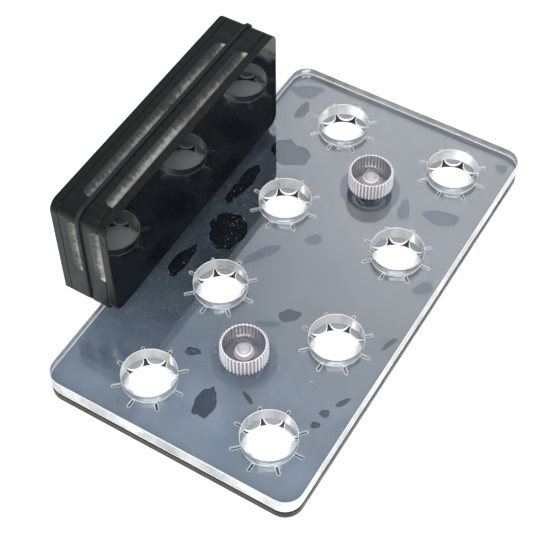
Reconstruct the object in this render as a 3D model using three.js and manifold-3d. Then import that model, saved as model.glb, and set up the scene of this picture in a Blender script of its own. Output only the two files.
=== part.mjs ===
// Hand capsule filler: a clear top plate, a slotted petal sheet and a black base plate, each with eight
// holes in two rows of four, clamped together by two nylon screws with knurled thumb nuts. A laminated
// black riser block stands on the long margin of the top plate.
//
// Millimetres, +Z up. The origin is the centre of the base plate's underside. +Y runs along the plates,
// +X across them, away from the riser.

import * as THREE from 'three';
import * as BufferGeometryUtils from 'three/addons/utils/BufferGeometryUtils.js';
import Module from 'manifold-3d';

const wasm = await Module();
wasm.setup();

// ---- plates
const PLATE_WIDTH = 87;
const PLATE_LENGTH = 154;
const PLATE_CORNER = 6;
const BASE_THICKNESS = 3;
const SHEET_THICKNESS = 0.75;
const TOP_THICKNESS = 5;
const PLATE_GAP = 0.05;
const SHEET_INSET = 0.3;

// ---- capsule holes: two rows along Y, four holes in each
const HOLE_RADIUS = 8.5;
const HOLE_ROWS_X = [-16.3, 25.4];
const HOLES_PER_ROW = 4;
const HOLE_PITCH = 39.8;
const HOLE_SEGMENTS = 32;

// ---- petals: radial slots cut in the sheet round each hole
const PETAL_COUNT = 8;
const PETAL_TIP_RADIUS = 6.2;
const SLOT_END_RADIUS = 11.7;
const SLOT_WIDTH = 0.85;

// ---- clamp screws and thumb nuts, on a line between the rows
const SCREW_X = 4.8;
const SCREW_Y = [-HOLE_PITCH, HOLE_PITCH];
const SCREW_NAMES = ['near', 'far'];
const SCREW_RADIUS = 2;
const SCREW_TIP_RADIUS = 1.5;
const SCREW_HEAD_RADIUS = 3.9;
const SCREW_HEAD_HEIGHT = 2.2;
const SCREW_HEAD_WALL = 0.3;
const SCREW_HEAD_SUNK = 0.15;
const SCREW_REACH = 4.2;
const SCREW_CLEARANCE = 0.2;
const NUT_RADIUS = 7.5;
const NUT_ROOT_RADIUS = 6.8;
const NUT_TEETH = 38;
const NUT_HEIGHT = 6.2;
const CUP_RADIUS = 6.5;
const CUP_FLOOR = 1.6;
const BOSS_RADIUS = 2.9;
const BOSS_HEIGHT = 3.4;
const WASHER_RADIUS = 4.5;
const WASHER_THICKNESS = 0.8;
const ROUND_SEGMENTS = 28;

// ---- riser block: layers across X, standing on the top plate beside the first row
const RISER_FRONT_X = -36.8;
const RISER_NEAR_Y = -46.6;
const RISER_LENGTH = 95.4;
const RISER_HEIGHT = 40.4;
const RISER_CORNER = 3.5;
const FACE_THICKNESS = 2.8;
const BLOCK_THICKNESS = 6.4;
const PAD_THICKNESS = 1.3;
const PAD_OVERHANG = 0.8;
const LAYER_GAP = 0.05;
const SCOOP_WIDTH = 3.4;
const SCOOP_DEPTH = 3.4;
const SCOOP_END_MARGIN = 8;
const SCOOP_FAR_MARGIN = 13;
const SCOOP_FOOT_MARGIN = 14;
const SCOOP_HEAD_MARGIN = 4;

// ---- levels and places worked out from the dimensions above
const SHEET_Z = BASE_THICKNESS + PLATE_GAP;
const TOP_Z = SHEET_Z + SHEET_THICKNESS + PLATE_GAP;
const DECK_Z = TOP_Z + TOP_THICKNESS;
const RISER_CENTRE_Y = RISER_NEAR_Y + RISER_LENGTH / 2;

// ---- colours
const CLEAR = { color: 0xdfe8ee, roughness: 0.05, metalness: 0 };
const HAZE = { color: 0x8e99a8, roughness: 0.3, metalness: 0 };
const BLACK_GLOSS = { color: 0x0c0d10, roughness: 0.08, metalness: 0 };
const BLACK_SATIN = { color: 0x1d1d20, roughness: 0.45, metalness: 0 };
const BLACK_RUBBER = { color: 0x0a0a0a, roughness: 0.8, metalness: 0 };
const NYLON = { color: 0xe6e1e2, roughness: 0.35, metalness: 0 };

const group = new THREE.Group();

function addPart(name, geometry, look) {
  const mesh = new THREE.Mesh(geometry, new THREE.MeshStandardMaterial(look));
  mesh.name = name;
  group.add(mesh);
  return mesh;
}

// ---- solids from meshes and back, for the cuts
function toSolid(geometry) {
  const bare = geometry.clone();
  bare.deleteAttribute('normal');
  bare.deleteAttribute('uv');
  const merged = BufferGeometryUtils.mergeVertices(bare, 1e-5);
  const vertProperties = new Float32Array(merged.attributes.position.array);
  const triVerts = new Uint32Array(merged.index.array);
  return new wasm.Manifold(new wasm.Mesh({ numProp: 3, vertProperties, triVerts }));
}

function toGeometry(solid) {
  const mesh = solid.getMesh();
  const geometry = new THREE.BufferGeometry();
  geometry.setAttribute('position', new THREE.BufferAttribute(mesh.vertProperties, 3));
  geometry.setIndex(new THREE.BufferAttribute(mesh.triVerts, 1));
  geometry.computeVertexNormals();
  return geometry;
}

// ---- outlines
function roundedRectangle(width, length, corner, centreX = 0, centreY = 0) {
  const halfWidth = width / 2 - corner;
  const halfLength = length / 2 - corner;
  const shape = new THREE.Shape();
  const corners = [
    [halfWidth, halfLength], [-halfWidth, halfLength], [-halfWidth, -halfLength], [halfWidth, -halfLength],
  ];
  corners.forEach(([x, y], quarter) => {
    const start = quarter * Math.PI / 2;
    shape.absarc(centreX + x, centreY + y, corner, start, start + Math.PI / 2, false);
  });
  return shape;
}

function circlePath(x, y, radius) {
  const path = new THREE.Path();
  path.absarc(x, y, radius, 0, 2 * Math.PI, true);
  return path;
}

// One hole of the petal sheet: straight slots with round outer ends, and between each two slots a petal
// whose round tip is tangent to both of its slots.
function petalPath(centreX, centreY) {
  const halfSlot = SLOT_WIDTH / 2;
  const halfAngle = Math.PI / PETAL_COUNT;
  const tipCentre = (PETAL_TIP_RADIUS - halfSlot) / (1 - Math.sin(halfAngle));
  const tipRadius = tipCentre - PETAL_TIP_RADIUS;
  const points = [];
  const addArc = (x, y, radius, from, to, steps) => {
    for (let step = 0; step <= steps; step += 1) {
      const angle = from + (to - from) * step / steps;
      points.push(new THREE.Vector2(x + radius * Math.cos(angle), y + radius * Math.sin(angle)));
    }
  };
  for (let index = 0; index < PETAL_COUNT; index += 1) {
    const slot = index * 2 * halfAngle;
    const slotEnd = SLOT_END_RADIUS - halfSlot;
    addArc(centreX + slotEnd * Math.cos(slot), centreY + slotEnd * Math.sin(slot), halfSlot,
      slot - Math.PI / 2, slot + Math.PI / 2, 4);
    const petal = slot + halfAngle;
    const sweep = Math.PI / 2 - halfAngle;
    addArc(centreX + tipCentre * Math.cos(petal), centreY + tipCentre * Math.sin(petal), tipRadius,
      petal + Math.PI + sweep, petal + Math.PI - sweep, 5);
  }
  return new THREE.Path(points);
}

function holeCentres() {
  const centres = [];
  for (const x of HOLE_ROWS_X) {
    for (let index = 0; index < HOLES_PER_ROW; index += 1) {
      centres.push([x, (index - (HOLES_PER_ROW - 1) / 2) * HOLE_PITCH]);
    }
  }
  return centres;
}

// ---- the three plates
function plate(width, length, corner, thickness, level, cutHole, screwHoleRadius) {
  const outline = roundedRectangle(width, length, corner);
  for (const [x, y] of holeCentres()) {
    outline.holes.push(cutHole(x, y));
  }
  if (screwHoleRadius > 0) {
    for (const y of SCREW_Y) {
      outline.holes.push(circlePath(SCREW_X, y, screwHoleRadius));
    }
  }
  const settings = { depth: thickness, bevelEnabled: false, curveSegments: HOLE_SEGMENTS / 2 };
  return new THREE.ExtrudeGeometry(outline, settings).translate(0, 0, level);
}

const roundHole = (x, y) => circlePath(x, y, HOLE_RADIUS);
const screwHoleRadius = SCREW_RADIUS + SCREW_CLEARANCE;

// Lathe profiles run up the axis: [radius, height] pairs that start and end on the axis.
function turned(profile, x, y, segments = ROUND_SEGMENTS) {
  const points = profile.map(([radius, height]) => new THREE.Vector2(radius, height));
  return new THREE.LatheGeometry(points, segments).rotateX(Math.PI / 2).translate(x, y, 0);
}

function countersink(y) {
  const wide = SCREW_HEAD_RADIUS + SCREW_CLEARANCE;
  return turned([
    [0, -1], [wide, -1], [wide, SCREW_HEAD_WALL],
    [screwHoleRadius, SCREW_HEAD_HEIGHT], [screwHoleRadius, BASE_THICKNESS + 1], [0, BASE_THICKNESS + 1],
  ], SCREW_X, y);
}

function basePlate() {
  let solid = toSolid(plate(PLATE_WIDTH, PLATE_LENGTH, PLATE_CORNER, BASE_THICKNESS, 0, roundHole, 0));
  for (const y of SCREW_Y) {
    solid = solid.subtract(toSolid(countersink(y)));
  }
  return toGeometry(solid);
}

addPart('base_plate', basePlate(), BLACK_GLOSS);
addPart('petal_sheet', plate(PLATE_WIDTH - 2 * SHEET_INSET, PLATE_LENGTH - 2 * SHEET_INSET,
  PLATE_CORNER - SHEET_INSET, SHEET_THICKNESS, SHEET_Z, petalPath, screwHoleRadius), HAZE);
addPart('top_plate', plate(PLATE_WIDTH, PLATE_LENGTH, PLATE_CORNER, TOP_THICKNESS, TOP_Z,
  roundHole, screwHoleRadius), CLEAR);

// ---- clamp screws: countersunk heads sunk in the base plate, tips showing in the nuts' cups
function clampScrew(y) {
  const tip = DECK_Z + SCREW_REACH;
  return turned([
    [0, SCREW_HEAD_SUNK], [SCREW_HEAD_RADIUS, SCREW_HEAD_SUNK],
    [SCREW_HEAD_RADIUS, SCREW_HEAD_SUNK + SCREW_HEAD_WALL],
    [SCREW_RADIUS, SCREW_HEAD_SUNK + SCREW_HEAD_HEIGHT],
    [SCREW_RADIUS, tip - 0.6], [SCREW_TIP_RADIUS, tip], [0, tip],
  ], SCREW_X, y);
}

// ---- washers, hidden in the recess under each nut
function nutWasher(y) {
  const bore = SCREW_RADIUS + SCREW_CLEARANCE;
  const low = DECK_Z + PLATE_GAP;
  const high = low + WASHER_THICKNESS;
  return turned([[bore, low], [WASHER_RADIUS, low], [WASHER_RADIUS, high], [bore, high], [bore, low]],
    SCREW_X, y);
}

// ---- thumb nuts: knurled skirt, hollow cup, central threaded boss, washer recess below
function knurledOutline() {
  const shape = new THREE.Shape();
  for (let index = 0; index < 2 * NUT_TEETH; index += 1) {
    const angle = index * Math.PI / NUT_TEETH;
    const radius = index % 2 === 0 ? NUT_RADIUS : NUT_ROOT_RADIUS;
    const point = [radius * Math.cos(angle), radius * Math.sin(angle)];
    if (index === 0) {
      shape.moveTo(...point);
    } else {
      shape.lineTo(...point);
    }
  }
  return shape;
}

function thumbNut(y) {
  const bottom = DECK_Z + PLATE_GAP;
  const top = bottom + NUT_HEIGHT;
  const body = new THREE.ExtrudeGeometry(knurledOutline(), { depth: NUT_HEIGHT, bevelEnabled: false });
  const bossTop = bottom + BOSS_HEIGHT;
  const cup = turned([
    [BOSS_RADIUS, bottom + CUP_FLOOR], [CUP_RADIUS - 0.4, bottom + CUP_FLOOR], [CUP_RADIUS, top],
    [CUP_RADIUS, top + 1], [0, top + 1], [0, bossTop], [BOSS_RADIUS - 0.5, bossTop],
    [BOSS_RADIUS, bossTop - 0.5], [BOSS_RADIUS, bottom + CUP_FLOOR],
  ], SCREW_X, y);
  const recessRadius = WASHER_RADIUS + 0.4;
  const recessTop = bottom + WASHER_THICKNESS + 0.1;
  const bore = SCREW_RADIUS + 0.05;
  const drill = turned([
    [0, bottom - 1], [recessRadius, bottom - 1], [recessRadius, recessTop], [bore, recessTop],
    [bore, bossTop + 1], [0, bossTop + 1],
  ], SCREW_X, y);
  const blank = toSolid(body.translate(SCREW_X, y, bottom));
  return toGeometry(blank.subtract(toSolid(cup)).subtract(toSolid(drill)));
}

SCREW_Y.forEach((y, index) => {
  const place = SCREW_NAMES[index];
  addPart(`clamp_screw_${place}`, clampScrew(y), NYLON);
  addPart(`nut_washer_${place}`, nutWasher(y), NYLON);
  addPart(`thumb_nut_${place}`, thumbNut(y), NYLON);
});

// ---- riser layers: outlines drawn in the Y-Z plane and extruded along X, front faces towards +X
function riserLayer(backX, thickness, grow) {
  const outline = roundedRectangle(RISER_LENGTH + 2 * grow, RISER_HEIGHT + 2 * grow, RISER_CORNER + grow);
  const settings = { depth: thickness, bevelEnabled: false, curveSegments: 5 };
  const layer = new THREE.ExtrudeGeometry(outline, settings);
  layer.applyMatrix4(new THREE.Matrix4().makeBasis(
    new THREE.Vector3(0, 1, 0), new THREE.Vector3(0, 0, 1), new THREE.Vector3(1, 0, 0)));
  return layer.translate(backX, RISER_CENTRE_Y, DECK_Z + PLATE_GAP + RISER_HEIGHT / 2);
}

// A finger scoop is a sloping cut along the block's front edge, on its top and its near end.
function scoopCutter(frontX, length) {
  const profile = new THREE.Shape([
    new THREE.Vector2(1, -SCOOP_DEPTH - 1), new THREE.Vector2(1, 1),
    new THREE.Vector2(-SCOOP_WIDTH, 1), new THREE.Vector2(-SCOOP_WIDTH, 0),
    new THREE.Vector2(0, -SCOOP_DEPTH),
    new THREE.Vector2(0, -SCOOP_DEPTH - 1),
  ]);
  const cutter = new THREE.ExtrudeGeometry(profile, { depth: length, bevelEnabled: false });
  return cutter.translate(frontX, 0, 0);
}

function riserBlock(backX) {
  const frontX = backX + BLOCK_THICKNESS;
  const riserTop = DECK_Z + PLATE_GAP + RISER_HEIGHT;
  const topRun = RISER_LENGTH - SCOOP_END_MARGIN - SCOOP_FAR_MARGIN;
  const endRun = RISER_HEIGHT - SCOOP_HEAD_MARGIN - SCOOP_FOOT_MARGIN;
  const topCut = scoopCutter(frontX, topRun).applyMatrix4(new THREE.Matrix4().makeRotationX(Math.PI / 2));
  topCut.translate(0, RISER_NEAR_Y + SCOOP_END_MARGIN + topRun, riserTop);
  const endCut = scoopCutter(frontX, endRun).applyMatrix4(new THREE.Matrix4().makeRotationX(Math.PI));
  endCut.translate(0, RISER_NEAR_Y, riserTop - SCOOP_HEAD_MARGIN);
  const solid = toSolid(riserLayer(backX, BLOCK_THICKNESS, 0));
  return toGeometry(solid.subtract(toSolid(topCut)).subtract(toSolid(endCut)));
}

// Layers from the front face back.
const frontPlateX = RISER_FRONT_X - FACE_THICKNESS;
const frontBlockX = frontPlateX - LAYER_GAP - BLOCK_THICKNESS;
const padX = frontBlockX - LAYER_GAP - PAD_THICKNESS;
const backBlockX = padX - LAYER_GAP - BLOCK_THICKNESS;
const backPlateX = backBlockX - LAYER_GAP - FACE_THICKNESS;

addPart('riser_front_plate', riserLayer(frontPlateX, FACE_THICKNESS, 0), BLACK_GLOSS);
addPart('riser_front_block', riserBlock(frontBlockX), BLACK_SATIN);
addPart('riser_pad', riserLayer(padX, PAD_THICKNESS, PAD_OVERHANG), BLACK_RUBBER);
addPart('riser_back_block', riserBlock(backBlockX), BLACK_SATIN);
addPart('riser_back_plate', riserLayer(backPlateX, FACE_THICKNESS, 0), BLACK_GLOSS);

export default group;
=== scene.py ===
"""Looks of the capsule filler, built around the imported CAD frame.

Everything is in the part's frame. Lengths are written in millimetres and turned into metres by mm().
"""

import math
import random

import bmesh
import bpy
from mathutils import Matrix, Vector
from mathutils.geometry import tessellate_polygon


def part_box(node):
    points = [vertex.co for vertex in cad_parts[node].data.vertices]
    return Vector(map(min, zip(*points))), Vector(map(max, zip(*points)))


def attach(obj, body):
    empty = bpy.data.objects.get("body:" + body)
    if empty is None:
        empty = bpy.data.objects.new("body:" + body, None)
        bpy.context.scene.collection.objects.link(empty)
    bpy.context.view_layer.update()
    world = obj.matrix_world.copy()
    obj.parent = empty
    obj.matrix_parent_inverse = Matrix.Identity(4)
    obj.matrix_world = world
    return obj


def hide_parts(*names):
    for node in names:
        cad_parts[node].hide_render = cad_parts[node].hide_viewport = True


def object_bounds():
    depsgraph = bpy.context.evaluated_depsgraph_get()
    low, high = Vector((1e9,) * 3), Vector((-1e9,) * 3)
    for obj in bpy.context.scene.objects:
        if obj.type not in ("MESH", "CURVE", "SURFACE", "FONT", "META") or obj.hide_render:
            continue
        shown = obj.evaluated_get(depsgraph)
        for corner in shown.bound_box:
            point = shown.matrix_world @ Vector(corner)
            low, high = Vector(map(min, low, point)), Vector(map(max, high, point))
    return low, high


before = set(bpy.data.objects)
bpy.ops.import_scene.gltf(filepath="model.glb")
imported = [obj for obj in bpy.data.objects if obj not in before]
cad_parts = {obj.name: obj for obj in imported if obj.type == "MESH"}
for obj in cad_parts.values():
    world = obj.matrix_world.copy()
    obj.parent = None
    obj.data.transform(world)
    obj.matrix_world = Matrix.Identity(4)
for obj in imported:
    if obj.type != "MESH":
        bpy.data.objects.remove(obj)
cad_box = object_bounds()

# ---- driving dimensions, in millimetres
PLATE_CORNER = 6.0
HOLE_RADIUS = 8.5
HOLE_ROWS_X = (-16.3, 25.4)
HOLES_PER_ROW = 4
HOLE_PITCH = 39.8
CLEAR_EDGE_BEVEL = 0.25
CLEAR_HOLE_BEVEL = 0.18
BLACK_EDGE_BEVEL = 0.2
BLACK_HOLE_BEVEL = 0.15

SHEET_INSET = 0.3
PETAL_COUNT = 8
PETAL_TIP_RADIUS = 6.2
SLOT_END_RADIUS = 11.7
SLOT_WIDTH = 0.85
CUT_RIM = 0.2

SCREW_X = 4.8
SCREW_Y = {"near": -HOLE_PITCH, "far": HOLE_PITCH}
SCREW_HOLE_RADIUS = 2.2
SCREW_HOLE_BEVEL = 0.1
SCREW_RADIUS = 2.0
SCREW_ROOT_RADIUS = 1.72
SCREW_PITCH = 0.7
SCREW_HEAD_RADIUS = 3.9
SCREW_HEAD_HEIGHT = 2.2
SCREW_HEAD_WALL = 0.3
COUNTERSINK_RADIUS = 4.1
WASHER_RADIUS = 4.5
WASHER_BORE = 2.25
NUT_TEETH = 38
STEPS_PER_TOOTH = 4
NUT_RADIUS = 7.5
NUT_ROOT_RADIUS = 6.8
NUT_BORE = 2.05
CUP_RADIUS = 6.55
CUP_FLOOR = 1.6
BOSS_RADIUS = 2.8
BOSS_HEIGHT = 3.4
RECESS_RADIUS = 4.9
RECESS_HEIGHT = 0.9
CLING_RADIUS = 10.2

RISER_CORNER = 3.5
RISER_FOOT_CORNER = 1.0
RISER_BEVEL = 0.3
BLOCK_BEVEL = 0.25
PAD_OVERHANG = 0.8
SCOOP_WIDTH = 3.6
SCOOP_DEPTH = 3.0
SCOOP_END_MARGIN = 8.0
SCOOP_FAR_MARGIN = 13.0
SCOOP_FOOT_MARGIN = 14.0
SCOOP_HEAD_MARGIN = 4.0
SCOOP_RUN_OUT = 2.2

SHARP_ANGLE = 35
NUT_SHARP_ANGLE = 28


def mm(value):
    return value / 1000.0


def node_box(node):
    """A CAD node's lowest and highest corners, in millimetres."""
    low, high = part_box(node)
    return [c * 1000 for c in low], [c * 1000 for c in high]


# ---- outlines: lists of (u, v) in millimetres, outer ones anticlockwise and holes clockwise
def arc(centre, radius, start, end, steps):
    """Points on a circle from start to end, in degrees."""
    points = []
    for step in range(steps + 1):
        angle = math.radians(start + (end - start) * step / steps)
        points.append((centre[0] + radius * math.cos(angle), centre[1] + radius * math.sin(angle)))
    return points


def rounded_rectangle(low, high, radii, steps=10):
    """Anticlockwise, with its own radius at each corner: top right, top left, bottom left, bottom right."""
    signs = ((1, 1), (-1, 1), (-1, -1), (1, -1))
    points = []
    for quarter, ((su, sv), radius) in enumerate(zip(signs, radii)):
        centre = (
            (high[0] - radius) if su > 0 else (low[0] + radius),
            (high[1] - radius) if sv > 0 else (low[1] + radius),
        )
        points += arc(centre, radius, 90 * quarter, 90 * quarter + 90, steps)
    return points


def circle(centre, radius, steps=96):
    """Clockwise, for a hole."""
    return arc(centre, radius, 0, -360, steps)[:-1]


def petal_outline(centre):
    """The clear opening of one petalled hole: round-ended slots with round petal tips between them."""
    half_slot = SLOT_WIDTH / 2
    half_angle = 180 / PETAL_COUNT
    sine = math.sin(math.radians(half_angle))
    tip_centre = (PETAL_TIP_RADIUS - half_slot) / (1 - sine)
    tip_radius = tip_centre - PETAL_TIP_RADIUS
    sweep = 90 - half_angle
    points = []
    for index in range(PETAL_COUNT):
        slot = index * 2 * half_angle
        points += arc(polar(centre, SLOT_END_RADIUS - half_slot, slot), half_slot, slot - 90, slot + 90, 8)
        petal = slot + half_angle
        inwards = petal + 180
        points += arc(polar(centre, tip_centre, petal), tip_radius, inwards + sweep, inwards - sweep, 12)
    return points[::-1]


def polar(centre, radius, degrees):
    angle = math.radians(degrees)
    return (centre[0] + radius * math.cos(angle), centre[1] + radius * math.sin(angle))


def grown(points, distance):
    """The outline moved to its left by distance: into the material, for outer outlines and holes alike."""
    if distance == 0:
        return list(points)
    moved = []
    count = len(points)
    for index, point in enumerate(points):
        before = Vector(point) - Vector(points[index - 1])
        after = Vector(points[(index + 1) % count]) - Vector(point)
        normals = [Vector((-e.y, e.x)).normalized() for e in (before, after)]
        middle = normals[0] + normals[1]
        length = max(middle.dot(middle) / 2, 0.35)
        moved.append((point[0] + middle.x * distance / length, point[1] + middle.y * distance / length))
    return moved


def inside(point, outline):
    """Whether a point is inside an outline."""
    crossings = 0
    for index, (u, v) in enumerate(outline):
        before_u, before_v = outline[index - 1]
        if (v > point[1]) != (before_v > point[1]):
            crossings += point[0] < u + (before_u - u) * (point[1] - v) / (before_v - v)
    return crossings % 2 == 1


def blob(centre, length, width, turn, seed, wobble, steps=48):
    """An irregular closed patch with its own half length, half width and turn in degrees."""
    chance = random.Random(seed)
    waves = [(k, chance.uniform(0.3, 1.0) / k, chance.uniform(0, 6.3)) for k in (2, 3, 5, 8, 11)]
    cosine, sine = math.cos(math.radians(turn)), math.sin(math.radians(turn))
    points = []
    for step in range(steps):
        angle = 2 * math.pi * step / steps
        scale = 1 + wobble * sum(size * math.sin(k * angle + shift) for k, size, shift in waves)
        along = length * scale * math.cos(angle)
        across = width * scale * math.sin(angle)
        points.append((
            centre[0] + along * cosine - across * sine,
            centre[1] + along * sine + across * cosine,
        ))
    return points


HOLE_CENTRES = [
    (x, (index - (HOLES_PER_ROW - 1) / 2) * HOLE_PITCH) for x in HOLE_ROWS_X for index in range(HOLES_PER_ROW)
]
SCREW_CENTRES = [(SCREW_X, y) for y in SCREW_Y.values()]

# Where a film of moisture lies between the clear plate and the petal sheet: centre, half length, half width
# and turn of each patch. The wet ones touch both sheets, and the damp ones only the clear plate.
WET_SPOTS = [
    ((2.6, -58.4), 6.2, 2.8, 100),
    ((-10.5, -45.0), 2.6, 1.4, 20),
    ((8.0, -18.5), 3.4, 2.4, 15),
    ((39.6, -12.2), 3.4, 0.8, 75),
    ((37.6, -37.6), 2.4, 0.9, 60),
    ((34.8, -43.6), 1.7, 1.2, 40),
    ((34.4, -48.4), 1.6, 1.0, 20),
    ((12.6, -50.6), 2.4, 0.8, 150),
    ((-26.5, 0.5), 7.6, 6.2, 90),
    ((-32.8, 20.5), 9.0, 2.7, 90),
    ((-26.2, 40.0), 6.4, 5.8, 20),
    ((-32.6, -17.5), 7.2, 2.4, 92),
    ((-32.6, 59.5), 4.6, 1.7, 95),
]
DAMP_SPOTS = [
    ((-12.0, -2.0), 6.0, 2.1, 60),
    ((-0.5, 11.5), 2.8, 1.8, 30),
    ((30.8, 40.6), 5.6, 3.2, 15),
    ((18.8, 37.4), 5.0, 1.7, 115),
    ((38.8, 12.0), 3.6, 2.1, 70),
    ((38.6, 70.0), 2.4, 1.7, 130),
    ((-36.0, 68.5), 5.2, 3.0, 20),
    ((4.0, -24.5), 3.6, 1.3, 20),
]

# How ragged each kind of patch is, and where its random seeds start.
WET_WOBBLE = 0.36
DAMP_WOBBLE = 0.38
CLING_WOBBLE = 0.06
DAMP_SEED = 30
CLING_SEED = 60


def wet_patches():
    return [blob(*spot, seed, WET_WOBBLE) for seed, spot in enumerate(WET_SPOTS)]


def damp_patches():
    """The damp spots, and a ring of moisture round each thumb nut."""
    spots = [blob(*spot, seed, DAMP_WOBBLE) for seed, spot in enumerate(DAMP_SPOTS, DAMP_SEED)]
    rings = [
        blob(centre, CLING_RADIUS, CLING_RADIUS, 0, seed, CLING_WOBBLE, 72)
        for seed, centre in enumerate(SCREW_CENTRES, CLING_SEED)
    ]
    return spots + rings


# ---- meshes
def new_mesh(name, vertices, faces, materials, indices=None):
    """A mesh from vertices in millimetres, with its normals outwards."""
    mesh = bpy.data.meshes.new(name)
    mesh.from_pydata([tuple(mm(c) for c in v) for v in vertices], [], faces)
    for material in materials:
        mesh.materials.append(material)
    if indices is not None:
        mesh.polygons.foreach_set("material_index", indices)
    work = bmesh.new()
    work.from_mesh(mesh)
    bmesh.ops.recalc_face_normals(work, faces=work.faces)
    work.to_mesh(mesh)
    work.free()
    return mesh


def new_object(name, data):
    made = bpy.data.objects.new(name, data)
    bpy.context.scene.collection.objects.link(made)
    return made


def new_piece(name, vertices, faces, materials, body, indices=None, sharp=SHARP_ANGLE):
    """A mesh piece that rides on a body and takes its finish from a slot."""
    mesh = new_mesh(name, vertices, faces, materials, indices)
    shade(mesh, sharp)
    piece = new_object(name, mesh)
    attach(piece, body)
    return piece


def shade(mesh, sharp):
    """Smooth curved walls, and true flats wherever a face is square to an axis."""
    mesh.shade_smooth()
    mesh.set_sharp_from_angle(angle=math.radians(sharp))
    for face in mesh.polygons:
        if max(abs(c) for c in face.normal) > 0.99995:
            face.use_smooth = False


def edge_rows(low, high, bevel, steps=3):
    """Rows (inset, level) of a straight wall with rounded edges, from its high face to its low one."""
    rows = []
    for step in range(steps + 1):
        angle = math.radians(90 * step / steps)
        rows.append((bevel * (1 - math.sin(angle)), high - bevel * (1 - math.cos(angle))))
    return rows + [(inset, low + high - level) for inset, level in reversed(rows)]


# Places in a plate's list of materials. Its faces take the first, at 0.
WALL_INDEX = 1
PATCH_INDEX = 2
EXTRA_INDEX = 3


def plate_mesh(loops, place=lambda u, v, w: (u, v, w), patches=(), patched_side="low", low_cap=0):
    """Vertices, faces and material indices of a flat plate.

    Each loop is (outline, rows, wall material). Its rows are (inset, level) or (inset, level, material), from
    the high face to the low one. The first loop is the outer one. The patches are outlines on one of the two
    faces, and take the material at PATCH_INDEX. The high face takes the first material.
    """
    vertices, faces, indices = [], [], []
    caps = {"high": [], "low": []}
    starts = {"high": [], "low": []}
    for outline, rows, wall in loops:
        count = len(outline)
        previous = None
        for number, row in enumerate(rows):
            start = len(vertices)
            ring = grown(outline, row[0])
            vertices += [place(u, v, row[1]) for u, v in ring]
            if previous is not None:
                for index in range(count):
                    after = (index + 1) % count
                    faces.append((previous + index, previous + after, start + after, start + index))
                    indices.append(row[2] if len(row) > 2 else wall)
            if number in (0, len(rows) - 1):
                side = "high" if number == 0 else "low"
                caps[side].append([Vector((u, v, 0)) for u, v in ring])
                starts[side].append(start)
            previous = start
    for side, rings in caps.items():
        regions = [[list(zip(rings, starts[side])), low_cap if side == "low" else 0]]
        if side == patched_side:
            level = loops[0][1][0 if side == "high" else -1][1]
            for patch in patches:
                start = len(vertices)
                vertices += [place(u, v, level) for u, v in patch]
                ring = ([Vector((u, v, 0)) for u, v in patch], start)
                held = [r for r in regions[0][0][1:] if inside(r[0][0], patch)]
                regions[0][0] = [r for r in regions[0][0] if r not in held] + [ring]
                regions.append([[ring] + held, PATCH_INDEX])
        for region, material in regions:
            lookup = [start + index for ring, start in region for index in range(len(ring))]
            for triangle in tessellate_polygon([ring for ring, start in region]):
                faces.append(tuple(lookup[i] for i in triangle))
                indices.append(material)
    return vertices, faces, indices


def turned_mesh(profile, centre, segments=64):
    """A lathe along Z. The profile is a closed ring of (radius, level), or runs from the axis to the axis."""
    vertices, faces = [], []
    rings = []
    for radius, level in profile:
        if radius == 0:
            rings.append([len(vertices)])
            vertices.append((centre[0], centre[1], level))
            continue
        rings.append(list(range(len(vertices), len(vertices) + segments)))
        for index in range(segments):
            u, v = polar(centre, radius, 360 * index / segments)
            vertices.append((u, v, level))
    closed = len(rings[0]) > 1
    pairs = list(zip(rings, rings[1:])) + ([(rings[-1], rings[0])] if closed else [])
    for low, high in pairs:
        for index in range(segments):
            after = (index + 1) % segments
            ring = [low[index % len(low)], low[after % len(low)]]
            ring += [high[after % len(high)], high[index % len(high)]]
            face = [v for n, v in enumerate(ring) if v not in ring[:n]]
            if len(face) > 2:
                faces.append(tuple(face))
    return vertices, faces


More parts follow.
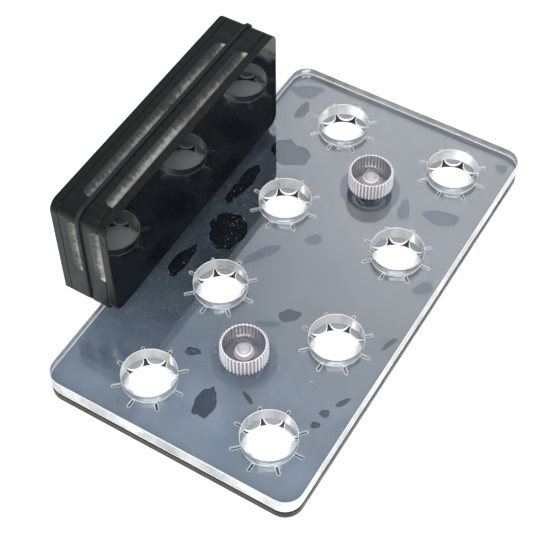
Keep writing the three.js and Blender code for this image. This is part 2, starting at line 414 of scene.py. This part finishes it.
# ---- materials
class Shader:
    """One Principled material, with helpers for the nodes that feed it."""

    def __init__(self, name, color, roughness, **sockets):
        self.material = bpy.data.materials.new(name)
        self.material.use_nodes = True
        self.tree = self.material.node_tree
        self.shader = self.tree.nodes["Principled BSDF"]
        self.set("Base Color", (*color, 1))
        self.set("Roughness", roughness)
        for socket, value in sockets.items():
            self.set(socket.replace("_", " "), value)

    def set(self, socket, value):
        self.shader.inputs[socket].default_value = value

    def node(self, kind, links=(), **values):
        made = self.tree.nodes.new(kind)
        for key, value in values.items():
            if key in made.inputs:
                made.inputs[key].default_value = value
            else:
                setattr(made, key, value)
        for key, source in dict(links).items():
            self.tree.links.new(source, made.inputs[key])
        return made

    def link(self, source, socket):
        self.tree.links.new(source, self.shader.inputs[socket])

    def coordinate(self, axis):
        """A point's X, Y or Z in the part's frame, in millimetres."""
        place = self.node("ShaderNodeTexCoord")
        parts = self.node("ShaderNodeSeparateXYZ", {"Vector": place.outputs["Object"]})
        return self.math("MULTIPLY", parts.outputs[axis], 1000)

    def noise(self, scale, detail=3.0, stretch=(1, 1, 1)):
        """Noise whose scale is in cycles per metre, times the stretch along each axis."""
        place = self.node("ShaderNodeTexCoord")
        source = self.node("ShaderNodeMapping", {"Vector": place.outputs["Object"]})
        source.inputs["Scale"].default_value = [scale * s for s in stretch]
        made = self.node("ShaderNodeTexNoise", {"Vector": source.outputs["Vector"]}, Scale=1.0, Detail=detail)
        return made.outputs["Fac"]

    def ramp(self, source, stops):
        made = self.node("ShaderNodeValToRGB", {"Fac": source})
        elements = made.color_ramp.elements
        for index, (place, color) in enumerate(stops):
            element = elements[index] if index < 2 else elements.new(place)
            element.position = place
            element.color = (*color, 1)
        return made.outputs["Color"]

    def spread(self, source, low, high, start=0.3, end=0.7):
        """source from start to end becomes low to high."""
        made = self.node("ShaderNodeMapRange", {"Value": source})
        made.inputs["From Min"].default_value = start
        made.inputs["From Max"].default_value = end
        made.inputs["To Min"].default_value = low
        made.inputs["To Max"].default_value = high
        return made.outputs["Result"]

    def bump(self, height, distance, strength=1.0):
        made = self.node("ShaderNodeBump", {"Height": height}, Strength=strength, Distance=distance)
        self.link(made.outputs["Normal"], "Normal")

    def math(self, operation, first, second=0.0):
        made = self.node("ShaderNodeMath", operation=operation)
        for place, source in enumerate((first, second)):
            if isinstance(source, (int, float)):
                made.inputs[place].default_value = source
            else:
                self.tree.links.new(source, made.inputs[place])
        return made.outputs[0]

    def hole_distance(self):
        """How far a point is from the middle of the nearest capsule hole, in millimetres."""
        middle = sum(HOLE_ROWS_X) / 2
        half_gap = (HOLE_ROWS_X[1] - HOLE_ROWS_X[0]) / 2
        across = self.math("ABSOLUTE", self.math("SUBTRACT", self.coordinate("X"), middle))
        across = self.math("SUBTRACT", across, half_gap)
        along = self.math("FRACT", self.math("MULTIPLY", self.coordinate("Y"), 1 / HOLE_PITCH))
        along = self.math("MULTIPLY", self.math("SUBTRACT", along, 0.5), HOLE_PITCH)
        squares = [self.math("MULTIPLY", offset, offset) for offset in (across, along)]
        return self.math("SQRT", self.math("ADD", *squares))


ACRYLIC_IOR = 1.49
SHEET_IOR = 1.5
NYLON_IOR = 1.53


def clear_acrylic():
    """The clear plate's faces, with a faint haze, and specks of dust that hide what is below them."""
    made = Shader("clear_acrylic", (0.975, 0.985, 0.99), 0.0, Transmission_Weight=1.0, IOR=ACRYLIC_IOR)
    made.link(made.spread(made.noise(90, 4), 0.0, 0.03, 0.45, 0.75), "Roughness")
    dust = made.spread(made.noise(2000, 2), 1.0, 0.5, 0.69, 0.73)
    made.link(dust, "Transmission Weight")
    return made.material


def cut_acrylic():
    """The laser-cut walls of the clear plate, a little hazy, with fine lines through the thickness."""
    made = Shader("cut_clear_acrylic", (0.97, 0.955, 0.945), 0.12, Transmission_Weight=0.74, IOR=ACRYLIC_IOR)
    made.bump(made.noise(1400, 2, (1, 1, 0.05)), 0.00004, 0.5)
    made.link(made.spread(made.noise(160, 3, (1, 1, 0.3)), 0.78, 0.5), "Transmission Weight")
    return made.material


def frosted_edge():
    """The narrow broken edges of the clear plate, ground white."""
    made = Shader("frosted_edge", (0.96, 0.95, 0.94), 0.35, Transmission_Weight=0.35, IOR=ACRYLIC_IOR)
    made.link(made.spread(made.noise(900, 3), 0.25, 0.5), "Roughness")
    return made.material


def clinging(name):
    """Where two clear sheets touch wet: the boundary between them no longer reflects or bends light."""
    return Shader(name, (0.86, 0.92, 1.0), 0.0, Transmission_Weight=1.0, IOR=1.0).material


def black_gloss(name, color, specular):
    """Polished black plastic with the faintest unevenness."""
    made = Shader(name, color, 0.03, IOR=ACRYLIC_IOR, Specular_IOR_Level=specular)
    made.link(made.spread(made.noise(140, 5), 0.015, 0.09, 0.4, 0.8), "Roughness")
    return made.material


def cut_black(name, color, roughness, stretch, depth):
    """Laser-cut black plastic: satin, with fine lines along the cut."""
    made = Shader(name, color, roughness, IOR=ACRYLIC_IOR, Specular_IOR_Level=0.13)
    lines = made.noise(1500, 3, stretch)
    tone = [tuple(c * k for c in color) for k in (0.6, 1.6)]
    made.link(made.ramp(lines, [(0.3, tone[0]), (0.75, tone[1])]), "Base Color")
    made.link(made.spread(made.noise(300, 3), roughness * 0.75, roughness * 1.3), "Roughness")
    made.bump(lines, depth, 0.6)
    return made.material


def matte_black():
    """The pad between the riser's blocks: dull, with a fine grain."""
    made = Shader("matte_black_pad", (0.006, 0.006, 0.0065), 0.75)
    made.link(made.spread(made.noise(700, 3), 0.6, 0.9), "Roughness")
    made.bump(made.noise(2500, 2), 0.00003, 0.5)
    return made.material


def painted_light_scoop():
    """The scoops' surface: as dark as the block at the back, and painted pale towards the front edge as a
    painted highlight where the rounded-over scoop turns to face +X.
    """
    made = Shader("scoop_with_painted_light", (0.13, 0.125, 0.115), 0.34, IOR=ACRYLIC_IOR, Specular_IOR_Level=0.3)
    front = node_box("riser_front_block")[1][0]
    pitch = front - node_box("riser_back_block")[1][0]
    behind = made.math("SUBTRACT", made.coordinate("X"), front + 0.01)
    across = made.math("FRACT", made.math("MULTIPLY", behind, 1 / pitch))
    lines = made.noise(900, 4, (0.12, 1, 1))
    streaks = made.spread(lines, -0.05, 0.05)
    # Painted light: the colour goes from dark to pale across each block towards its front face, standing in
    # for the light on the slope that faces +X.
    pale = made.math("ADD", made.math("ADD", across, streaks), made.spread(made.noise(45, 2), -0.1, 0.08))
    tones = [(0.58, (0.012, 0.0115, 0.011)), (0.74, (0.06, 0.058, 0.053)), (0.93, (0.4, 0.39, 0.36))]
    made.link(made.ramp(pale, tones), "Base Color")
    made.bump(lines, 0.00006, 0.5)
    return made.material


def nylon(name, color, roughness, transmission):
    """Natural nylon, a little uneven in tone."""
    made = Shader(name, color, roughness, Transmission_Weight=transmission, IOR=NYLON_IOR)
    tint = made.noise(260, 3)
    tones = [tuple(c * k for c in color) for k in (0.9, 1.0)]
    made.link(made.ramp(tint, [(0.3, tones[0]), (0.7, tones[1])]), "Base Color")
    made.bump(made.noise(1800, 2), 0.00003, 0.35)
    return made.material


def petal_plastic():
    """The petal sheet's upper face: bluish and hazy, more so near the end, and painted paler and milkier on
    the free petals as painted light, standing in for the light that comes up through the holes.
    """
    made = Shader("petal_plastic", (0.55, 0.7, 0.88), 0.05, Transmission_Weight=0.9, IOR=SHEET_IOR)
    cloud = made.ramp(made.noise(45, 4), [(0.35, (0.5, 0.66, 0.86)), (0.65, (0.62, 0.74, 0.9))])
    # Painted light: over the holes the sheet is made paler and hazier than elsewhere, for the light from the
    # floor below.
    free = made.spread(made.hole_distance(), 1.0, 0.0, HOLE_RADIUS - 0.2, HOLE_RADIUS + 0.2)
    mix = made.node("ShaderNodeMix", data_type="RGBA")
    made.tree.links.new(free, mix.inputs["Factor"])
    made.tree.links.new(cloud, mix.inputs[6])
    mix.inputs[7].default_value = (0.76, 0.82, 0.88, 1)
    made.link(mix.outputs[2], "Base Color")
    near = made.spread(made.coordinate("Y"), 0.36, 0.1, -60, -10)
    haze = made.math("MULTIPLY", near, made.spread(made.noise(60, 4), 0.75, 1.25))
    haze = made.math("MAXIMUM", haze, made.math("MULTIPLY", free, 0.3))
    made.link(made.math("SUBTRACT", 1.0, haze), "Transmission Weight")
    return made.material


def petal_underside():
    """The petal sheet's lower face, plain and clear."""
    color = (0.93, 0.95, 0.98)
    return Shader("petal_underside", color, 0.05, Transmission_Weight=1.0, IOR=SHEET_IOR).material


def cut_petal():
    """The white, slightly melted edges of the petals and slots."""
    made = Shader("cut_petal_edge", (0.95, 0.93, 0.91), 0.3)
    made.link(made.spread(made.noise(1500, 2), 0.2, 0.45), "Roughness")
    return made.material


CLEAR = clear_acrylic()
CLEAR_CUT = cut_acrylic()
CLEAR_EDGE = frosted_edge()
CLEAR_CLING = clinging("clinging_clear_plate")
BASE_GLOSS = black_gloss("black_acrylic", (0.009, 0.0095, 0.012), 0.5)
BASE_CUT = cut_black("cut_black_acrylic", (0.02, 0.0155, 0.013), 0.3, (1, 1, 0.04), 0.00005)
PETAL = petal_plastic()
PETAL_UNDER = petal_underside()
PETAL_CUT = cut_petal()
PETAL_CLING = clinging("clinging_petal_sheet")
FRONT_GLOSS = black_gloss("riser_front_gloss", (0.002, 0.002, 0.003), 0.24)
RISER_CUT = cut_black("riser_cut_face", (0.01, 0.0095, 0.009), 0.35, (0.05, 1, 1), 0.00004)
SCOOP = painted_light_scoop()
PAD = matte_black()
NUT_NYLON = nylon("frosted_nylon", (0.96, 0.915, 0.93), 0.25, 0.25)
# Painted shade: a darker copy of the nut's nylon, for the gaps between the knurl's teeth.
NUT_GROOVE_SHADE = nylon("nylon_groove_painted_shade", (0.42, 0.38, 0.41), 0.3, 0.3)
NUT_CUP = nylon("clear_nylon_cup", (0.93, 0.91, 0.93), 0.12, 0.97)
WASHER_NYLON = nylon("washer_nylon", (0.9, 0.89, 0.9), 0.06, 1.0)
SCREW_NYLON = nylon("natural_nylon", (0.74, 0.69, 0.69), 0.35, 0.35)

# ---- the three plates
base_low, base_high = node_box("base_plate")
sheet_low, sheet_high = node_box("petal_sheet")
top_low, top_high = node_box("top_plate")


def plate_outline(low, high, corner):
    return rounded_rectangle(low, high, [corner] * 4, 14)


def hole_loops(rows):
    return [(circle(c, HOLE_RADIUS), rows, WALL_INDEX) for c in HOLE_CENTRES]


def screw_loops(rows):
    return [(circle(c, SCREW_HOLE_RADIUS, 48), rows, WALL_INDEX) for c in SCREW_CENTRES]


def frosted_rows(low, high, bevel):
    """Edge rows whose rounded parts take the last of the clear plate's materials."""
    rows = edge_rows(low, high, bevel)
    half = len(rows) // 2
    return [(*row, EXTRA_INDEX) if number != half else row for number, row in enumerate(rows)]


def clear_plate():
    low, high = top_low[2], top_high[2]
    outline = plate_outline(top_low, top_high, PLATE_CORNER)
    loops = [(outline, frosted_rows(low, high, CLEAR_EDGE_BEVEL), WALL_INDEX)]
    loops += hole_loops(frosted_rows(low, high, CLEAR_HOLE_BEVEL))
    loops += screw_loops(edge_rows(low, high, SCREW_HOLE_BEVEL))
    vertices, faces, indices = plate_mesh(loops, patches=wet_patches() + damp_patches())
    looks = [CLEAR, CLEAR_CUT, CLEAR_CLING, CLEAR_EDGE]
    piece = new_piece("clear_plate", vertices, faces, looks, "cover", indices)
    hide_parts("top_plate")


def slotted_sheet():
    low, high = sheet_low[2], sheet_high[2]
    square_rows = [(0, high), (0, low)]
    rim_rows = [(CUT_RIM, high), (0, high), (0, low), (CUT_RIM, low)]
    loops = [(plate_outline(sheet_low, sheet_high, PLATE_CORNER - SHEET_INSET), square_rows, WALL_INDEX)]
    loops += [(petal_outline(c), rim_rows, WALL_INDEX) for c in HOLE_CENTRES]
    loops += screw_loops(square_rows)
    vertices, faces, indices = plate_mesh(
        loops, patches=wet_patches(), patched_side="high", low_cap=EXTRA_INDEX)
    looks = [PETAL, PETAL_CUT, PETAL_CLING, PETAL_UNDER]
    piece = new_piece("slotted_sheet", vertices, faces, looks, "petals", indices)
    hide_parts("petal_sheet")


def black_plate():
    low, high = base_low[2], base_high[2]
    sink = COUNTERSINK_RADIUS - SCREW_HOLE_RADIUS
    sink_rows = [(0, high), (0, SCREW_HEAD_HEIGHT), (sink, SCREW_HEAD_WALL), (sink, low)]
    outline = plate_outline(base_low, base_high, PLATE_CORNER)
    loops = [(outline, edge_rows(low, high, BLACK_EDGE_BEVEL), WALL_INDEX)]
    loops += hole_loops(edge_rows(low, high, BLACK_HOLE_BEVEL))
    loops += screw_loops(sink_rows)
    vertices, faces, indices = plate_mesh(loops)
    looks = [BASE_GLOSS, BASE_CUT]
    piece = new_piece("black_plate", vertices, faces, looks, "base", indices)
    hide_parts("base_plate")


clear_plate()
slotted_sheet()
black_plate()


# ---- thumb nuts: a knurled skirt round a hollow cup, with a threaded boss
NUT_STEPS = NUT_TEETH * STEPS_PER_TOOTH


def knurled_ring(radius, centre):
    """A toothed outline, anticlockwise: V teeth down to the nut's root radius."""
    root = min(NUT_ROOT_RADIUS, radius)
    points = []
    for index in range(NUT_STEPS):
        phase = (index % STEPS_PER_TOOTH) / STEPS_PER_TOOTH
        height = abs(2 * phase - 1)
        points.append(polar(centre, root + (radius - root) * height, 360 * index / NUT_STEPS))
    return points


def thumb_nut(place, y):
    """One closed wall of rings: up the skirt, down the cup, over the boss, and down the bore and recess."""
    low, high = node_box(f"thumb_nut_{place}")
    bottom, top = low[2], high[2]
    centre = (SCREW_X, y)
    skirt = [
        (NUT_RADIUS - 0.1, bottom), (NUT_RADIUS, bottom + 0.15),
        (NUT_RADIUS, top - 0.2), (NUT_RADIUS - 0.15, top),
    ]
    cup = [
        (CUP_RADIUS, top), (CUP_RADIUS - 0.25, bottom + CUP_FLOOR + 0.5),
        (CUP_RADIUS - 0.8, bottom + CUP_FLOOR + 0.05),
    ]
    boss = [
        (BOSS_RADIUS + 0.35, bottom + CUP_FLOOR), (BOSS_RADIUS, bottom + CUP_FLOOR + 0.3),
        (BOSS_RADIUS, bottom + BOSS_HEIGHT - 0.9), (BOSS_RADIUS - 0.15, bottom + BOSS_HEIGHT - 0.4),
        (BOSS_RADIUS - 0.5, bottom + BOSS_HEIGHT - 0.1), (NUT_BORE, bottom + BOSS_HEIGHT),
    ]
    recess = [
        (NUT_BORE, bottom + RECESS_HEIGHT + 0.1), (RECESS_RADIUS, bottom + RECESS_HEIGHT),
        (RECESS_RADIUS, bottom),
    ]
    rings = [[(*p, level) for p in knurled_ring(radius, centre)] for radius, level in skirt]
    for radius, level in cup + boss + recess:
        rings.append([(*polar(centre, radius, 360 * i / NUT_STEPS), level) for i in range(NUT_STEPS)])
    vertices = [v for ring in rings for v in ring]
    nylon_index, cup_index, groove_shade_index = range(3)
    cup_rows = range(len(skirt), len(skirt) + len(cup))
    recess_rows = range(len(rings) - len(recess), len(rings))
    faces, indices = [], []
    for number in range(len(rings)):
        start, following = number * NUT_STEPS, ((number + 1) % len(rings)) * NUT_STEPS
        for index in range(NUT_STEPS):
            after = (index + 1) % NUT_STEPS
            faces.append((start + index, start + after, following + after, following + index))
            # The facets down into each gap between teeth take the darker copy: painted shade.
            if number < len(skirt) - 1 and index % STEPS_PER_TOOTH in (1, 2):
                indices.append(groove_shade_index)
            elif number in cup_rows or number in recess_rows:
                indices.append(cup_index)
            else:
                indices.append(nylon_index)
    name, body = f"knurled_nut_{place}", f"nut_{place}"
    looks = [NUT_NYLON, NUT_CUP, NUT_GROOVE_SHADE]
    piece = new_piece(name, vertices, faces, looks, body, indices, NUT_SHARP_ANGLE)
    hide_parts(f"thumb_nut_{place}")


def screw(place, y):
    """A countersunk screw whose thread is a stack of ring grooves above its head."""
    low, high = node_box(f"clamp_screw_{place}")
    bottom, top = low[2], high[2]
    profile = [
        (0, bottom), (SCREW_HEAD_RADIUS - 0.1, bottom), (SCREW_HEAD_RADIUS, bottom + 0.1),
        (SCREW_HEAD_RADIUS, bottom + SCREW_HEAD_WALL), (SCREW_RADIUS, bottom + SCREW_HEAD_HEIGHT),
    ]
    level = bottom + SCREW_HEAD_HEIGHT + 0.5
    while level < top - SCREW_PITCH:
        profile += [(SCREW_RADIUS, level), (SCREW_ROOT_RADIUS, level + SCREW_PITCH / 2)]
        level += SCREW_PITCH
    profile += [
        (SCREW_RADIUS - 0.1, top - 0.45), (SCREW_RADIUS - 0.5, top - 0.1),
        (SCREW_RADIUS - 0.7, top), (0, top),
    ]
    vertices, faces = turned_mesh(profile, (SCREW_X, y), 48)
    piece = new_piece(f"nylon_screw_{place}", vertices, faces, [SCREW_NYLON], "base")
    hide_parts(f"clamp_screw_{place}")


def washer(place, y):
    low, high = node_box(f"nut_washer_{place}")
    bottom, top = low[2], high[2]
    ring = [
        (WASHER_BORE, bottom), (WASHER_RADIUS - 0.1, bottom), (WASHER_RADIUS, bottom + 0.1),
        (WASHER_RADIUS, top - 0.1), (WASHER_RADIUS - 0.1, top), (WASHER_BORE, top),
    ]
    vertices, faces = turned_mesh(ring, (SCREW_X, y), 64)
    looks = [WASHER_NYLON]
    piece = new_piece(f"nylon_washer_{place}", vertices, faces, looks, f"washer_{place}")
    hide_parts(f"nut_washer_{place}")


for screw_place, screw_y in SCREW_Y.items():
    thumb_nut(screw_place, screw_y)
    screw(screw_place, screw_y)
    washer(screw_place, screw_y)


# ---- riser: layers across X, each drawn in the Y-Z plane
def riser_layer(name, node, materials, bevel, radii):
    """A layer whose walls take the last of its materials."""
    low, high = node_box(node)
    outline = rounded_rectangle(low[1:], high[1:], radii, 8)
    loops = [(outline, edge_rows(low[0], high[0], bevel), len(materials) - 1)]
    vertices, faces, indices = plate_mesh(loops, lambda u, v, w: (w, u, v))
    piece = new_piece(name, vertices, faces, materials, "riser", indices)
    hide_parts(node)
    return piece


def scoop_profile():
    """The cutter's section: (x, b) with the block's front at x = 0 and the cut face at b = 0."""
    steps = 8
    end = math.radians(62)
    profile = []
    for step in range(steps + 1):
        angle = end * step / steps
        reach = math.sin(angle) / math.sin(end)
        drop = (1 - math.cos(angle)) / (1 - math.cos(end))
        profile.append((-SCOOP_WIDTH * (1 - reach), -SCOOP_DEPTH * drop))
    return profile + [(0.6, -SCOOP_DEPTH), (0.6, 1.0), (-SCOOP_WIDTH, 1.0)]


def scoop_cutter(name, front_x, start, length, place):
    """A cutter that leaves a rounded-over edge and runs out at both ends.

    place turns (x, a, b) into a point, with a along the cut and b out of the cut face.
    """
    smallest = 0.05
    profile = scoop_profile()
    stations = [0, 0.1, 0.3, 0.6, 1.0]
    sizes = [max(math.sqrt(1 - (1 - s) ** 2), smallest) for s in stations]
    places = [(SCOOP_RUN_OUT * s, size) for s, size in zip(stations, sizes)]
    places += [(length - along, size) for along, size in reversed(places)]
    vertices, faces = [], []
    count = len(profile)
    for along, size in places:
        for x, b in profile:
            x, b = (c * size if c < 0 else c for c in (x, b))
            vertices.append(place(front_x + x, start + along, b))
    for number in range(len(places) - 1):
        for index in range(count):
            after = (index + 1) % count
            low, high = number * count, (number + 1) * count
            faces.append((low + index, low + after, high + after, high + index))
    faces.append(tuple(range(count)))
    faces.append(tuple(reversed(range(len(vertices) - count, len(vertices)))))
    return new_object(name, new_mesh(name, vertices, faces, [SCOOP]))


def cut_away(piece, cutters):
    """Cuts the cutters out of the piece. The cut faces keep the cutters' material."""
    for cutter in cutters:
        step = piece.modifiers.new("cut", "BOOLEAN")
        step.operation = "DIFFERENCE"
        step.solver = "EXACT"
        step.material_mode = "TRANSFER"
        step.object = cutter
    bpy.context.view_layer.update()
    graph = bpy.context.evaluated_depsgraph_get()
    mesh = bpy.data.meshes.new_from_object(piece.evaluated_get(graph), depsgraph=graph)
    piece.modifiers.clear()
    piece.data = mesh
    shade(mesh, SHARP_ANGLE)
    for cutter in cutters:
        bpy.data.objects.remove(cutter)


def riser_block(name, node):
    """A thick layer with a scoop along the front edge of its top and another down its near end."""
    low, high = node_box(node)
    piece = riser_layer(name, node, [RISER_CUT], BLOCK_BEVEL, SQUARE_FOOT)
    top, near = high[2], low[1]
    top_run = high[1] - near - SCOOP_END_MARGIN - SCOOP_FAR_MARGIN
    end_run = top - low[2] - SCOOP_HEAD_MARGIN - SCOOP_FOOT_MARGIN
    cut_away(piece, [
        scoop_cutter(f"{name}_top_cut", high[0], near + SCOOP_END_MARGIN, top_run,
                     lambda x, a, b: (x, a, top + b)),
        scoop_cutter(f"{name}_end_cut", high[0], low[2] + SCOOP_FOOT_MARGIN, end_run,
                     lambda x, a, b: (x, near - b, a)),
    ])


ROUND_CORNERS = [RISER_CORNER] * 4
PAD_CORNERS = [RISER_CORNER + PAD_OVERHANG] * 4
SQUARE_FOOT = [RISER_CORNER, RISER_CORNER, RISER_FOOT_CORNER, RISER_FOOT_CORNER]
FRONT_LOOKS = [FRONT_GLOSS, RISER_CUT]
riser_layer("front_plate", "riser_front_plate", FRONT_LOOKS, RISER_BEVEL, ROUND_CORNERS)
riser_block("front_block", "riser_front_block")
riser_layer("middle_pad", "riser_pad", [PAD], RISER_BEVEL, PAD_CORNERS)
riser_block("back_block", "riser_back_block")
riser_layer("back_plate", "riser_back_plate", [RISER_CUT], RISER_BEVEL, SQUARE_FOOT)

# ---- floor, light and camera
FLOOR_HALF = 2500
FLOOR_GAP = 0.05

# The glow's direction, where it starts by the cosine of the angle from that direction, and its colours from
# its outer edge to its middle.
GLOW_DIRECTION = Vector((-0.21, 0.65, 0.73))
GLOW_START = 0.9
GLOW = (
    (0.2, (0.4, 0.45, 0.5)),
    (0.66, (0.78, 0.88, 1.0)),
    (0.85, (1.65, 1.67, 1.72)),
    (0.95, (2.25, 2.22, 2.22)),
)

# The lamp, in metres and watts.
LAMP_PLACE = (0.4, -0.6, 0.75)
LAMP_SIZE = (0.9, 0.6)
LAMP_POWER = 13

# The camera, in metres and degrees: its turn about Z, its tilt down and its roll.
CAMERA_PLACE = (0.12898, -0.22767, 0.34526)
CAMERA_TURN = 31.68
CAMERA_TILT = 52.45
CAMERA_ROLL = -0.75
CAMERA_LENS = 90.67


def floor():
    """A plain white floor just below the part, a little bright of itself."""
    made = Shader("floor", (0.93, 0.93, 0.93), 0.9)
    made.set("Emission Color", (1, 1, 1, 1))
    made.set("Emission Strength", 0.42)
    level = cad_box[0][2] - mm(FLOOR_GAP)
    half = mm(FLOOR_HALF)
    mesh = bpy.data.meshes.new("floor")
    corners = [(-half, -half, level), (half, -half, level), (half, half, level), (-half, half, level)]
    mesh.from_pydata(corners, [], [(0, 1, 2, 3)])
    mesh.materials.append(made.material)
    new_object("floor", mesh)


def studio_light():
    """A dim pale dome with a large soft glow behind the object, and one large lamp on the camera's side."""
    world = bpy.data.worlds.new("studio")
    bpy.context.scene.world = world
    world.use_nodes = True
    nodes, links = world.node_tree.nodes, world.node_tree.links
    place = nodes.new("ShaderNodeTexCoord")
    toward = nodes.new("ShaderNodeVectorMath")
    toward.operation = "DOT_PRODUCT"
    toward.inputs[1].default_value = GLOW_DIRECTION.normalized()
    spread = nodes.new("ShaderNodeMapRange")
    spread.inputs["From Min"].default_value = GLOW_START
    spread.inputs["From Max"].default_value = 1.0
    ramp = nodes.new("ShaderNodeValToRGB")
    elements = ramp.color_ramp.elements
    while len(elements) < len(GLOW):
        elements.new(0.5)
    for element, (reach, color) in zip(elements, GLOW):
        element.position = reach
        element.color = (*color, 1)
    links.new(place.outputs["Generated"], toward.inputs[0])
    links.new(toward.outputs["Value"], spread.inputs["Value"])
    links.new(spread.outputs["Result"], ramp.inputs["Fac"])
    links.new(ramp.outputs["Color"], nodes["Background"].inputs["Color"])
    lamp = bpy.data.lights.new("softbox", "AREA")
    lamp.shape = "RECTANGLE"
    lamp.size, lamp.size_y = LAMP_SIZE
    lamp.energy = LAMP_POWER
    softbox = new_object("softbox", lamp)
    softbox.location = LAMP_PLACE
    softbox.rotation_euler = (-softbox.location).to_track_quat("-Z", "Y").to_euler()


def camera():
    """Beyond the near end, on the side away from the riser, looking down over the plates."""
    turn, tilt, roll = (math.radians(a) for a in (CAMERA_TURN, CAMERA_TILT, CAMERA_ROLL))
    forward = Vector((-math.sin(turn) * math.cos(tilt), math.cos(turn) * math.cos(tilt), -math.sin(tilt)))
    level = Vector((math.cos(turn), math.sin(turn), 0))
    above = level.cross(forward)
    right = level * math.cos(roll) + above * math.sin(roll)
    up = above * math.cos(roll) - level * math.sin(roll)
    lens = bpy.data.cameras.new("camera")
    lens.lens = CAMERA_LENS
    lens.sensor_width = 36
    lens.clip_start = 0.01
    made = new_object("camera", lens)
    rotation = Matrix((right, up, -forward)).transposed().to_4x4()
    made.matrix_world = Matrix.Translation(CAMERA_PLACE) @ rotation
    bpy.context.scene.camera = made


floor()
studio_light()
camera()
bpy.context.scene.view_settings.view_transform = "Standard"
